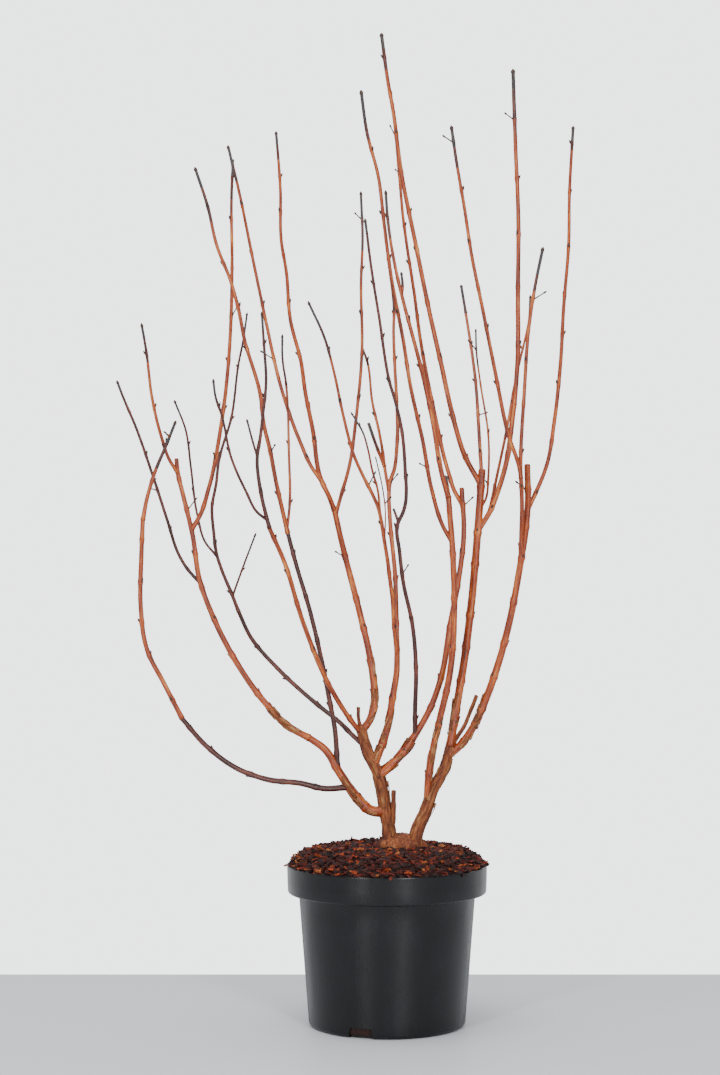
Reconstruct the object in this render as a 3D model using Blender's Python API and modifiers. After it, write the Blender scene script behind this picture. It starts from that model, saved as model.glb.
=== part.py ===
# A leafless young ninebark shrub in a round black nursery pot.
# Metres, +Z up. The origin is the centre of the pot's flat underside and +Y points to the back.
# A limb's places are written as across, up, in millimetres, as an eye in front of the pot sees
# them in the plane of the pot's axis. Its depth is a size of its own, and a place further back
# is moved out along the line of sight, so that the crown keeps this outline from the front.

import math
import random

import bmesh
import bpy
from mathutils import Vector

for thing in list(bpy.data.objects):
    bpy.data.objects.remove(thing, do_unlink=True)

MM = 0.001
GAP = 0.3 * MM  # room left between two pieces that touch

# The pot
POT_HIGH = 156 * MM
POT_WALL = 1.8 * MM
LIP_RADIUS = 98.1 * MM
BAND_HIGH = 27.5 * MM
BAND_DRAFT = 0.8 * MM  # how much the band narrows downwards
BODY_RADIUS = 86.3 * MM  # just under the band
FOOT_RADIUS = 76.8 * MM
FOOT_ROUND = 4 * MM
NOTCHES = 3
NOTCH_WIDE = 29 * MM
NOTCH_HIGH = 10 * MM
NOTCH_DEEP = 7 * MM
NOTCH_TURN = -110  # degrees from +X to the first notch, which shows a little left of the front
POT_STEPS = 40

# The mulch and the root crown
SOIL_UP = 172.5 * MM  # the flat middle of the mound, where the trunks stand
SOIL_FLAT = 40 * MM
MULCH_EDGE_UP = 155 * MM
MOUND_POWER = 4  # how late the mound falls away towards the lip
CROWN_AT = (14 * MM, 3 * MM)
CROWN_SIZE = (23 * MM, 17 * MM, 13 * MM)

# The eye that reads the places
EYE_ACROSS = -26.5 * MM
EYE_UP = 440 * MM
EYE_AWAY = 2120 * MM

# Limbs and shoots
RING_STEP = 27 * MM
FLARE_HIGH = 11 * MM  # the height over which a trunk's foot narrows
BUD_LONG = 4.6 * MM
BUD_THICK = 2.0 * MM
BUD_STEP = (38 * MM, 60 * MM)
SPUR_LONG = (8 * MM, 17 * MM)
SPUR_THICK = 1.5 * MM
SPUR_SHARE = 0.14
CLEAR = 0.8 * MM  # a bud or spur that comes nearer than this to another limb is left off
SEED = 23

# Trunks and boughs: what each grows from, its thickness at the foot and the end, the depth of
# its end, and its places. The first place is the one on the limb that carries it.
BOUGHS = {
    "trunk_left": (None, 14.0, 10.6, 0, [
        (2, 165), (2, 186), (-2.5, 215), (-10, 247), (-19.5, 267), (-25.5, 289)]),
    "trunk_right": (None, 14.0, 9.4, 2, [
        (27, 165), (28, 183), (38, 208), (46, 230), (56, 249), (62, 271)]),
    "bough_left_low": ("trunk_left", 10.2, 6.8, -8, [
        (-3, 207), (-16, 208), (-28, 219), (-45.5, 243.5), (-62, 269), (-76, 279)]),
    "bough_left": ("bough_left_low", 6.6, 4.4, -24, [
        (-76, 279), (-95, 289), (-119.5, 313.5), (-146, 350.5), (-169, 394), (-184, 434),
        (-191, 478), (-200, 516), (-206, 542), (-207, 553)]),
    "cane_outer_low": ("bough_left_low", 6.0, 4.8, -34, [
        (-41, 229), (-60, 229.5), (-86, 235), (-115, 238), (-146.5, 249), (-177, 271),
        (-201, 298)]),
    "cane_outer": ("cane_outer_low", 4.8, 4.6, -53, [
        (-201, 298), (-217.5, 330), (-236, 367), (-242, 410), (-241.5, 454), (-240, 493)]),
    "bough_back_left": ("trunk_left", 4.8, 4.2, 56, [
        (-21, 269), (-34, 282), (-46.5, 294.5), (-66, 310), (-106, 346), (-135, 380),
        (-145.5, 402.5)]),
    "bough_tall_left": ("bough_left_low", 5.2, 4.2, -44, [
        (-47, 248), (-49.5, 267), (-50.5, 282), (-57, 319), (-76, 405), (-90, 452),
        (-97.5, 480)]),
    "bough_front_left": ("trunk_left", 5.2, 4.3, -96, [
        (-24, 282), (-34, 294.5), (-55, 327.5), (-81.5, 390), (-102.5, 456), (-115.5, 485)]),
    "bough_centre_left": ("trunk_left", 7.4, 5.8, 40, [
        (-24, 286), (-16, 298), (-12.5, 313), (-14.5, 344), (-27.5, 405), (-42, 461),
        (-51.5, 502)]),
    "bough_centre": ("trunk_left", 8.4, 5.8, -12, [
        (-14, 253), (-6, 270), (1.5, 293.5), (5, 316), (9.5, 344), (10, 365)]),
    "bough_centre_low": ("trunk_left", 9.0, 8.2, 6, [(-5, 243), (6, 254.5), (18, 268), (24, 277)]),
    "bough_centre_right": ("bough_centre_low", 6.6, 5.0, 20, [
        (24, 277), (30, 286), (43, 309.5), (52.5, 336), (62, 390), (71.5, 442), (75.5, 478),
        (73.5, 524)]),
    "bough_inner_right": ("trunk_right", 7.2, 5.7, -32, [
        (39.5, 212), (40, 233), (43.5, 260), (51.5, 296), (62, 344), (66, 400), (65, 454),
        (60.5, 515)]),
    "bough_right": ("trunk_right", 8.2, 7.4, 16, [
        (62, 271), (64.5, 287), (69, 314), (77, 363), (84, 422), (88.5, 473), (91.5, 513),
        (93.5, 542)]),
    "bough_right_outer": ("trunk_right", 7.8, 6.0, -34, [
        (60, 262), (71, 271), (86, 292.5), (99.5, 323.5), (112, 361), (122.5, 403), (131.5, 452),
        (136, 480), (138.5, 508), (138, 547)]),
    "stub_old": ("trunk_left", 6.0, 4.6, -9, [(3, 183), (6, 203), (6.5, 227)]),
    "stub_top": ("trunk_left", 3.2, 3.2, -4, [(-26, 285), (-28, 298), (-28, 309)]),
    "stub_dry": ("trunk_right", 4.2, 4.2, 14, [(66, 268), (77, 293.5), (87.5, 320.5)]),
}

# Masses of bare twigs. Each has one leading shoot, and the shoots that branch from it.
MASSES = {
    "twigs_outer_left": {
        "leader": ("cane_outer", 4.4, 2.9, -62, [
            (-240, 493), (-235.5, 516), (-229, 538), (-217, 567), (-209, 587)]),
        "side": ("leader", 2.2, 1.6, -66, [(-213.5, 575), (-217.5, 578.5)]),
    },
    "twigs_left": {
        "leader": ("bough_left", 4.6, 3.0, 60, [
            (-191, 484), (-184.5, 496), (-175, 525), (-163, 587), (-157, 636), (-153.5, 690),
            (-152.5, 739), (-153, 816), (-152, 841)]),
    },
    "twigs_left_stub": {
        "leader": ("bough_left", 3.6, 2.6, -85, [
            (-205, 539), (-215, 554.5), (-221, 572), (-231, 613), (-237, 660), (-241, 683)]),
    },
    "twigs_left_low": {
        "leader": ("bough_left", 3.4, 2.7, 42, [
            (-184, 430), (-196.5, 445.5), (-204.5, 459), (-215, 490), (-230, 536), (-246, 582),
            (-261.5, 619), (-264.5, 627)]),
    },
    "twigs_back_left": {
        "leader": ("bough_back_left", 4.0, 2.2, 160, [
            (-145.5, 402.5), (-152.5, 420.5), (-161, 440.5), (-167, 458), (-170.5, 483),
            (-172, 506), (-168, 528), (-165.5, 550), (-153, 594), (-145.5, 650), (-142, 667),
            (-138, 694)]),
        "second": ("leader", 2.6, 2.4, 132, [
            (-167, 457), (-179, 472), (-186, 496), (-193, 547), (-198, 582), (-208, 608)]),
        "thin": ("leader", 2.3, 2.0, 44, [(-151.5, 418.5), (-141, 448), (-130, 477)]),
    },
    "twigs_tall_left": {
        "leader": ("bough_tall_left", 4.6, 3.0, -127, [
            (-97.5, 480), (-109.5, 533), (-115, 562), (-121, 587), (-124.5, 616), (-140.5, 672),
            (-146, 700), (-153, 726), (-168, 765), (-176.5, 802), (-188, 837)]),
        "second": ("leader", 2.9, 2.3, -24, [
            (-98, 484), (-96, 503), (-96.5, 562), (-99, 625), (-103, 655), (-103, 672)]),
    },
    "twigs_front_left": {
        "leader": ("bough_front_left", 4.0, 2.4, -147, [
            (-115.5, 485), (-123.5, 518), (-127.5, 556), (-124.5, 575), (-122, 597), (-119, 626),
            (-121, 665), (-123, 694)]),
        "second": ("leader", 2.8, 2.3, -160, [
            (-118, 493), (-127, 500), (-138.5, 521), (-153, 554), (-162.5, 596), (-169, 616),
            (-170.5, 628)]),
        "third": ("leader", 2.3, 2.1, -98, [(-128, 555), (-132.5, 572), (-137, 589)]),
    },
    "twigs_centre_left": {
        "leader": ("bough_centre_left", 5.2, 3.0, 136, [
            (-51.5, 502), (-57.5, 517.5), (-64, 531), (-73, 582), (-81, 623), (-84, 646),
            (-95, 690), (-99, 737), (-104, 768), (-105, 820), (-109, 873)]),
        "second": ("leader", 4.2, 3.0, 84, [
            (-63.5, 530), (-74, 545), (-85, 569), (-102.5, 618), (-119, 688), (-125.5, 719),
            (-131, 745), (-136, 770), (-148.5, 829), (-156, 859)]),
    },
    "twigs_centre_back": {
        "leader": ("bough_centre_left", 4.0, 2.7, 6, [
            (-50.5, 498), (-46, 514), (-37.5, 544), (-30, 596), (-24.5, 662), (-25.5, 724),
            (-24, 773), (-25.5, 813)]),
    },
    "twigs_centre": {
        "leader": ("bough_centre", 5.2, 2.8, 31, [
            (10, 365), (9.5, 390), (8, 439), (3, 493), (2, 515), (3, 531), (7, 542), (9.5, 562),
            (10.5, 582), (9.5, 611), (7.5, 650), (6.5, 680), (7, 700), (2.5, 741)]),
        "second": ("leader", 3.6, 2.4, 40, [
            (2.5, 522), (-1.5, 540), (-4.5, 562), (-8, 581.5), (-14, 607), (-20.5, 653),
            (-24, 662)]),
        "stub": ("second", 3.4, 3.4, -8, [(-2.5, 546), (-10, 565), (-18, 588)]),
    },
    "twigs_front_centre": {
        "leader": ("bough_centre", 4.6, 2.4, -134, [
            (10, 360), (6.5, 395), (5.5, 414), (3, 434), (0.5, 454), (-2, 469), (-5, 488),
            (-8, 503), (-12, 513.5), (-21.5, 532.5), (-31, 553), (-43, 596), (-51.5, 636),
            (-62, 674), (-76, 705)]),
        "second": ("leader", 2.6, 1.8, -40, [
            (-6, 498), (-9, 522.5), (-14.5, 542), (-18.5, 562), (-24, 580), (-33.5, 596)]),
        "third": ("leader", 1.6, 1.3, -36, [(-2, 469), (-2, 508), (-5, 528), (-10.5, 552)]),
    },
    "twigs_dark_front": {
        "leader": ("bough_centre_right", 4.8, 2.5, -155, [
            (27.5, 283), (27.5, 304), (28.5, 344), (25, 390), (16, 432), (12.5, 461), (11, 491),
            (15, 498.5), (18, 508), (19, 522), (18, 542), (14.5, 582), (8, 610.5), (2, 631),
            (-1.5, 650), (-6.5, 685), (-15, 739), (-21, 786)]),
        "stub": ("leader", 2.6, 2.4, -62, [(11.5, 492), (6.5, 504)]),
    },
    "twigs_inner_right": {
        "leader": ("bough_inner_right", 5.2, 2.8, -82, [
            (60.5, 515), (55, 534), (44.5, 593), (33, 645), (24, 679), (16, 709), (6.5, 751),
            (0.5, 793), (-1, 814)]),
        "stub": ("leader", 4.2, 3.8, -24, [(60, 517), (59.5, 524), (57, 536)]),
        "side": ("leader", 3.2, 2.4, -58, [(14.5, 716), (15.5, 722), (14.5, 734)]),
    },
    "twigs_tall_front": {
        "leader": ("bough_inner_right", 4.4, 3.2, -157, [
            (62.5, 472), (56, 485), (44, 523), (35, 572), (23.5, 623), (16, 670), (4, 734),
            (-2.5, 783), (-8.5, 832), (-20, 877), (-25, 913)]),
    },
    "twigs_back_right": {
        "leader": ("bough_centre_right", 4.6, 2.8, 117, [
            (73.5, 508), (65.5, 523.5), (60.5, 540), (57, 552), (48, 593), (33.5, 667),
            (26.5, 719), (19, 768), (15.5, 795), (13.5, 818), (6, 902)]),
    },
    "twigs_tallest": {
        "leader": ("bough_right", 5.6, 3.8, 50, [
            (90, 527), (76, 557.5), (66, 590.5), (53.5, 646), (41, 702), (28.5, 764), (14, 837),
            (6, 898), (1, 926), (-5, 970)]),
    },
    "twigs_back": {
        "leader": ("bough_right", 4.0, 3.0, 170, [
            (92, 536), (91, 572), (86.5, 636), (79.5, 685), (73.5, 722)]),
    },
    "twigs_thin_right": {
        "leader": ("bough_right", 2.5, 2.0, 96, [
            (92, 503), (97, 513), (99.5, 534), (100, 572), (91.5, 631), (88, 660), (87.5, 678)]),
    },
    "twigs_right": {
        "leader": ("bough_right", 5.6, 3.9, -20, [
            (90, 483), (100.5, 500), (109, 521), (116.5, 546), (123.5, 593), (128.5, 648),
            (129, 719), (129.5, 793), (127, 857), (124.5, 934)]),
        "second": ("leader", 3.3, 2.2, 70, [
            (100.5, 500), (107, 531), (117, 578), (127, 633), (134, 663), (140, 692), (141, 711)]),
    },
    "twigs_front_right": {
        "leader": ("bough_right_outer", 4.6, 3.1, -136, [
            (131, 450), (132, 478), (132.5, 518), (130.5, 543), (120, 575), (106.5, 639),
            (93, 707), (83.5, 754), (76, 803), (68.5, 847), (64, 878)]),
        "second": ("leader", 4.0, 3.2, -66, [
            (131, 534), (131.5, 549), (135, 616), (139.5, 680), (146, 724), (153, 758)]),
    },
    "twigs_far_right": {
        "leader": ("bough_right_outer", 4.4, 3.2, 52, [
            (138, 503), (144.5, 516), (156.5, 545), (165, 593), (171, 650), (174, 702),
            (179, 764), (180, 818), (183.5, 878)]),
    },
}


def to_linear(code):
    # one sRGB hex colour as the linear colour a material holds
    parts = [int(code[i:i + 2], 16) / 255 for i in (1, 3, 5)]
    return [c / 12.92 if c <= 0.04045 else ((c + 0.055) / 1.055) ** 2.4 for c in parts] + [1.0]


def material(name, code, roughness):
    made = bpy.data.materials.new(name)
    made.use_nodes = True
    shader = made.node_tree.nodes["Principled BSDF"]
    shader.inputs["Base Color"].default_value = to_linear(code)
    shader.inputs["Roughness"].default_value = roughness
    shader.inputs["Metallic"].default_value = 0.0
    return made


def collection(name):
    made = bpy.data.collections.new(name)
    bpy.context.scene.collection.children.link(made)
    return made


plant = collection("potted ninebark")
cutters = collection("cutters")

black_plastic = material("black plastic", "#1A1F26", 0.42)
bark_mulch = material("bark mulch", "#4A1C10", 0.9)
old_bark = material("old bark", "#8A4A28", 0.85)
young_bark = material("young bark", "#B5652E", 0.6)
dark_bark = material("dark bark", "#5A2A20", 0.55)


def placed(across, up, back):
    # a place as the eye sees it, moved out along the line of sight to its own depth
    reach = 1 + back / EYE_AWAY
    x = EYE_ACROSS + (across - EYE_ACROSS) * reach
    z = EYE_UP + (up - EYE_UP) * reach
    return Vector((x, back, z))


def smooth(places, step):
    # an even, smooth line through the places
    spans = [(b - a).length for a, b in zip(places, places[1:])]
    leans = [(b - a) / span for a, b, span in zip(places, places[1:], spans)]
    slopes = [leans[0]]
    for i in range(1, len(spans)):
        both = spans[i - 1] + spans[i]
        slopes.append((leans[i - 1] * spans[i] + leans[i] * spans[i - 1]) / both)
    slopes.append(leans[-1])
    line = []
    for i, span in enumerate(spans):
        count = max(1, round(span / step))
        for k in range(count):
            t = k / count
            start = places[i] * (2 * t ** 3 - 3 * t ** 2 + 1)
            end = places[i + 1] * (3 * t ** 2 - 2 * t ** 3)
            leave = slopes[i] * span * (t ** 3 - 2 * t ** 2 + t)
            arrive = slopes[i + 1] * span * (t ** 3 - t ** 2)
            line.append(start + end + leave + arrive)
    line.append(places[-1])
    return line


def lengths_along(line):
    along = [0.0]
    for a, b in zip(line, line[1:]):
        along.append(along[-1] + (b - a).length)
    return along


class Limb:
    # one round limb that tapers along a smooth line

    def __init__(self, line, thick, thin, flare=0.0):
        self.line = line
        self.along = lengths_along(line)
        self.length = self.along[-1]
        self.sides = 8 if thick > 6.5 * MM else 4 if thick < 2.5 * MM else 6
        self.radii = []
        for s in self.along:
            radius = (thick + (thin - thick) * s / self.length) / 2
            self.radii.append(radius * (1 + flare * math.exp(-s / FLARE_HIGH)))

    def at(self, s):
        # the point, the direction and the radius at a length along the limb
        i = 0
        while i < len(self.line) - 2 and self.along[i + 1] < s:
            i += 1
        span = self.along[i + 1] - self.along[i]
        t = (s - self.along[i]) / span
        point = self.line[i].lerp(self.line[i + 1], t)
        radius = self.radii[i] + (self.radii[i + 1] - self.radii[i]) * t
        return point, (self.line[i + 1] - self.line[i]).normalized(), radius

    def nearest(self, place):
        # the length along the limb whose axis comes nearest to a place
        best = (1e9, 0.0)
        for i, (a, b) in enumerate(zip(self.line, self.line[1:])):
            span = b - a
            t = max(0.0, min(1.0, (place - a).dot(span) / span.length_squared))
            away = (a.lerp(b, t) - place).length
            best = min(best, (away, self.along[i] + t * span.length))
        return best

    def seen_nearest(self, across, up):
        # the length along the limb that the eye sees nearest to a place
        best = (1e9, 0.0)
        steps = 200
        for k in range(steps + 1):
            point = self.at(self.length * k / steps)[0]
            reach = 1 + point.y / EYE_AWAY
            aside = EYE_ACROSS + (point.x - EYE_ACROSS) / reach - across
            above = EYE_UP + (point.z - EYE_UP) / reach - up
            best = min(best, (math.hypot(aside, above), self.length * k / steps))
        return best[1]

    def body(self, grown=0.0):
        # the limb as a closed mesh, or one that is thicker and longer all round by a gap
        line = [point.copy() for point in self.line]
        line[0] -= (line[1] - line[0]).normalized() * grown
        line[-1] += (line[-1] - line[-2]).normalized() * grown
        more = grown / math.cos(math.pi / self.sides)
        return tube(line, [radius + more for radius in self.radii], self.sides)


def tube(line, radii, sides):
    curve = bpy.data.curves.new("tube", "CURVE")
    curve.dimensions = "3D"
    curve.bevel_depth = MM
    curve.bevel_resolution = (sides - 4) // 2
    curve.use_fill_caps = True
    spline = curve.splines.new("POLY")
    spline.points.add(len(line) - 1)
    for point, place, radius in zip(spline.points, line, radii):
        point.co = (*place, 1.0)
        point.radius = radius / MM
    shaped = bpy.data.objects.new("tube", curve)
    bpy.context.scene.collection.objects.link(shaped)
    graph = bpy.context.evaluated_depsgraph_get()
    mesh = bpy.data.meshes.new_from_object(shaped.evaluated_get(graph))
    bpy.data.objects.remove(shaped, do_unlink=True)
    bpy.data.curves.remove(curve)
    weld(mesh)
    return mesh


def weld(mesh):
    shape = bmesh.new()
    shape.from_mesh(mesh)
    bmesh.ops.remove_doubles(shape, verts=shape.verts, dist=0.01 * MM)
    bmesh.ops.recalc_face_normals(shape, faces=shape.faces)
    shape.to_mesh(mesh)
    shape.free()


def add(name, mesh, group, paint=None):
    made = bpy.data.objects.new(name, mesh)
    group.objects.link(made)
    if paint:
        mesh.materials.clear()
        mesh.materials.append(paint)
    return made


def join_or_cut(mesh, others, operation):
    # the mesh with the others joined to it or cut from it, by one Boolean on their collection
    if not others:
        return mesh
    tools = collection("tools")
    for other in others:
        add("tool", other, tools)
    base = add("base", mesh, bpy.context.scene.collection)
    boolean = base.modifiers.new("boolean", "BOOLEAN")
    boolean.operation = operation
    boolean.operand_type = "COLLECTION"
    boolean.collection = tools
    boolean.solver = "EXACT"
    graph = bpy.context.evaluated_depsgraph_get()
    result = bpy.data.meshes.new_from_object(base.evaluated_get(graph))
    for used in [base] + list(tools.objects):
        bpy.data.objects.remove(used, do_unlink=True)
    bpy.data.collections.remove(tools)
    keep_largest(result)
    return result


def keep_largest(mesh):
    # drops the scraps that a cut leaves beside the main piece
    shape = bmesh.new()
    shape.from_mesh(mesh)
    bmesh.ops.remove_doubles(shape, verts=shape.verts, dist=0.002 * MM)
    left = set(shape.verts)
    pieces = []
    while left:
        piece = {left.pop()}
        edge = list(piece)
        while edge:
            vert = edge.pop()
            for link in vert.link_edges:
                other = link.other_vert(vert)
                if other not in piece:
                    piece.add(other)
                    edge.append(other)
        left -= piece
        pieces.append(piece)
    pieces.sort(key=len)
    for piece in pieces[:-1]:
        bmesh.ops.delete(shape, geom=list(piece), context="VERTS")
    shape.to_mesh(mesh)
    shape.free()


# Turned pieces

def turned(name, profile, paint):
    # a profile of radius and height, turned about the upright axis
    mesh = bpy.data.meshes.new(name)
    shape = bmesh.new()
    verts = [shape.verts.new((radius, 0.0, up)) for radius, up in profile]
    for a, b in zip(verts, verts[1:]):
        shape.edges.new((a, b))
    shape.to_mesh(mesh)
    shape.free()
    made = add(name, mesh, plant, paint)
    screw = made.modifiers.new("turn", "SCREW")
    screw.axis = "Z"
    screw.steps = POT_STEPS
    screw.render_steps = POT_STEPS
    screw.use_merge_vertices = True
    screw.merge_threshold = 0.01 * MM
    screw.use_smooth_shade = True
    return made


def pot_walls():
    # the outer and inner side of the wall, each from the lip down to the floor
    band_foot = POT_HIGH - BAND_HIGH
    band = LIP_RADIUS - BAND_DRAFT
    outer = [
        (LIP_RADIUS - 0.3 * MM, POT_HIGH),
        (LIP_RADIUS, POT_HIGH - 0.5 * MM),
        (LIP_RADIUS - 0.1 * MM, POT_HIGH - 2 * MM),
        (band, band_foot + 2.5 * MM),
        (band - 1.2 * MM, band_foot + 0.6 * MM),
        (band - 3.2 * MM, band_foot),
        (BODY_RADIUS + 1.2 * MM, band_foot - 0.4 * MM),
        (BODY_RADIUS, band_foot - 2 * MM),
        (FOOT_RADIUS, FOOT_ROUND),
        (FOOT_RADIUS - FOOT_ROUND * 0.35, FOOT_ROUND * 0.3),
        (FOOT_RADIUS - FOOT_ROUND, 0.0),
    ]
    inner = [
        (LIP_RADIUS - POT_WALL, POT_HIGH),
        (band - POT_WALL, band_foot + 2.5 * MM),
        (band - 3.2 * MM, band_foot + POT_WALL),
        (BODY_RADIUS, band_foot + POT_WALL - 0.4 * MM),
        (BODY_RADIUS - POT_WALL, band_foot - 2 * MM),
        (FOOT_RADIUS - POT_WALL, FOOT_ROUND + 0.6 * MM),
        (FOOT_RADIUS - FOOT_ROUND, POT_WALL),
    ]
    return outer, inner


def make_pot():
    outer, inner = pot_walls()
    profile = outer + [(0.0, 0.0), (0.0, POT_WALL)] + inner[::-1] + outer[:1]
    pot = turned("pot", profile, black_plastic)
    for k in range(NOTCHES):
        turn = math.radians(NOTCH_TURN + k * 360 / NOTCHES)
        notch = notch_cutter(k)
        notch.location = (math.cos(turn) * FOOT_RADIUS, math.sin(turn) * FOOT_RADIUS, 0.0)
        notch.rotation_euler = (0.0, 0.0, turn)
        cut = pot.modifiers.new("notch", "BOOLEAN")
        cut.operation = "DIFFERENCE"
        cut.object = notch
    return pot


def notch_cutter(k):
    # a block across the pot's foot that narrows upwards
    mesh = bpy.data.meshes.new("notch_cutter")
    shape = bmesh.new()
    bmesh.ops.create_cube(shape, size=1.0)
    for vert in shape.verts:
        narrow = 0.72 if vert.co.z > 0 else 1.0
        vert.co.x *= 2 * NOTCH_DEEP
        vert.co.y *= NOTCH_WIDE * narrow
        vert.co.z *= 2 * NOTCH_HIGH
    shape.to_mesh(mesh)
    shape.free()
    cutter = add("notch_cutter_%d" % (k + 1), mesh, cutters)
    cutter.hide_render = True
    cutter.display_type = "WIRE"
    return cutter


def make_mulch():
    # the bark mulch fills the pot to its lip and mounds up to a flat middle
    inner = pot_walls()[1]
    wall = [(radius - GAP, up) for radius, up in inner[1:-1]]
    floor = (inner[-1][0] - GAP, POT_WALL + GAP)
    edge = LIP_RADIUS - POT_WALL - GAP
    mound = [(0.0, SOIL_UP), (SOIL_FLAT, SOIL_UP)]
    for share in (0.4, 0.65, 0.82, 0.94):
        radius = SOIL_FLAT + (edge - SOIL_FLAT) * share
        drop = (SOIL_UP - MULCH_EDGE_UP) * share ** MOUND_POWER
        mound.append((radius, SOIL_UP - drop))
    mound.append((edge - 0.1 * MM, MULCH_EDGE_UP))
    wall[0] = (wall[0][0] - 0.2 * MM, wall[0][1])
    wall[1] = (wall[1][0], wall[1][1] + GAP)
    wall[2] = (wall[2][0], wall[2][1] + GAP)
    return turned("mulch", mound + wall + [floor, (0.0, floor[1])], bark_mulch)


# Limbs

limbs = {}


def grow(row, parents, flare=0.0):
    # one limb from its row: the first place is moved on to the axis of the limb that carries it
    parent, thick, thin, end_back, places = row
    across, up = places[0]
    first = placed(across * MM, up * MM, 0.0)
    if parent:
        carrier = parents[parent]
        first = carrier.at(carrier.seen_nearest(across * MM, up * MM))[0]
    start_back = first.y
    flat = [Vector((a, u)) for a, u in places]
    along = lengths_along(flat)
    line = [first]
    for (a, u), s in zip(places[1:], along[1:]):
        back = start_back + (end_back * MM - start_back) * s / along[-1]
        line.append(placed(a * MM, u * MM, back))
    return Limb(smooth(line, RING_STEP), thick * MM, thin * MM, flare)


def neighbours(limb, reach):
    # earlier limbs that the foot of this one reaches
    found = []
    for other in limbs.values():
        for s in (0.0, reach * 0.25, reach * 0.5, reach * 0.75, reach):
            point, _, radius = limb.at(min(s, limb.length))
            away, where = other.nearest(point)
            if away < radius + other.at(where)[2] + GAP * 2:
                found.append(other)
                break
    return found


def stand_flat(mesh):
    # the flat cut of a trunk at soil level
    shape = bmesh.new()
    shape.from_mesh(mesh)
    everything = list(shape.verts) + list(shape.edges) + list(shape.faces)
    level = Vector((0.0, 0.0, SOIL_UP + GAP))
    cut = bmesh.ops.bisect_plane(shape, geom=everything, plane_co=level, plane_no=(0, 0, 1),
                                 clear_inner=True)
    rim = [item for item in cut["geom_cut"] if isinstance(item, bmesh.types.BMEdge)]
    bmesh.ops.contextual_create(shape, geom=rim)
    bmesh.ops.recalc_face_normals(shape, faces=shape.faces)
    shape.to_mesh(mesh)
    shape.free()


def make_root_crown():
    # the low woody knob that both trunks rise from
    mesh = bpy.data.meshes.new("root_crown")
    shape = bmesh.new()
    bmesh.ops.create_icosphere(shape, subdivisions=3, radius=1.0)
    for vert in shape.verts:
        turn = math.atan2(vert.co.y, vert.co.x)
        knobs = 1 + 0.09 * math.sin(turn * 5 + 1.1) * (1 - vert.co.z ** 2)
        vert.co.x = CROWN_AT[0] + vert.co.x * CROWN_SIZE[0] * knobs
        vert.co.y = CROWN_AT[1] + vert.co.y * CROWN_SIZE[1] * knobs
        vert.co.z = SOIL_UP + vert.co.z * CROWN_SIZE[2]
    shape.to_mesh(mesh)
    shape.free()
    stand_flat(mesh)
    holes = [limbs[name].body(GAP) for name in ("trunk_left", "trunk_right")]
    add("root_crown", join_or_cut(mesh, holes, "DIFFERENCE"), plant, old_bark)


def make_boughs():
    foot = {"trunk_left": 0.35, "trunk_right": 0.35}
    for name, row in BOUGHS.items():
        limb = grow(row, limbs, foot.get(name, 0.0))
        mesh = limb.body()
        if row[0]:
            others = [other.body(GAP) for other in neighbours(limb, 26 * MM)]
            mesh = join_or_cut(mesh, others, "DIFFERENCE")
        else:
            stand_flat(mesh)
        old = name.startswith("trunk") or name in ("stub_old", "stub_top", "stub_dry")
        add(name, mesh, plant, old_bark if old else young_bark)
        limbs[name] = limb


def across_stem(direction, turn):
    # a unit vector square to a stem, at a turn about it
    side = direction.orthogonal().normalized()
    other = direction.cross(side)
    return side * math.cos(turn) + other * math.sin(turn)


def buds_and_spurs(shoot, chance, turn_start):
    # small pointed buds, and now and then a short spur, up a shoot in turn about its stem
    made = []
    s = 16 * MM + chance.uniform(0, 0.4) * BUD_STEP[1]
    turn = turn_start
    while s < shoot.length - 9 * MM:
        point, direction, radius = shoot.at(s)
        out = across_stem(direction, turn)
        spur = chance.random() < SPUR_SHARE
        long = chance.uniform(*SPUR_LONG) if spur else BUD_LONG
        thick = SPUR_THICK if spur else min(BUD_THICK, radius * 1.3)
        lean = (direction * (0.8 if spur else 1.6) + out).normalized()
        foot = point + out * radius * 0.2
        made.append(Limb([foot, foot + lean * (radius + long)], thick, thick * 0.45))
        turn += math.radians(137.5)
        s += chance.uniform(*BUD_STEP)
    return made


def is_clear(twig, own):
    tip = twig.line[-1]
    for limb in limbs.values():
        if limb in own:
            continue
        away, where = limb.nearest(tip)
        if away < limb.at(where)[2] + CLEAR:
            return False
    return True


def make_masses():
    chance = random.Random(SEED)
    dark = ("twigs_dark_front", "twigs_back_left", "twigs_left_low", "twigs_front_left")
    shoots = {}
    for name, rows in MASSES.items():
        own = {}
        for part, row in rows.items():
            own[part] = grow(row, own if row[0] in own else limbs)
            limbs[name + "." + part] = own[part]
        shoots[name] = own
    for name, own in shoots.items():
        others = []
        for part, shoot in own.items():
            if part != "leader":
                others.append(shoot.body())
            for twig in buds_and_spurs(shoot, chance, chance.uniform(0, 6.28)):
                if is_clear(twig, own.values()):
                    others.append(twig.body())
        mesh = join_or_cut(own["leader"].body(), others, "UNION")
        reached = [limb for limb in neighbours(own["leader"], 20 * MM)
                   if limb not in own.values()]
        mesh = join_or_cut(mesh, [limb.body(GAP) for limb in reached], "DIFFERENCE")
        add(name, mesh, plant, dark_bark if name in dark else young_bark)


make_pot()
make_mulch()
make_boughs()
make_root_crown()
make_masses()
for made in plant.objects:
    if made.name not in ("pot", "mulch"):
        made.data.shade_smooth()
        made.data.set_sharp_from_angle(angle=math.radians(40))
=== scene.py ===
# Potted ninebark in winter: reddish-brown bare stems with buds, in a black nursery pot of bark mulch.
import math
import random
from functools import partial

import bmesh
import bpy
from mathutils import Matrix, Vector, noise


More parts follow.
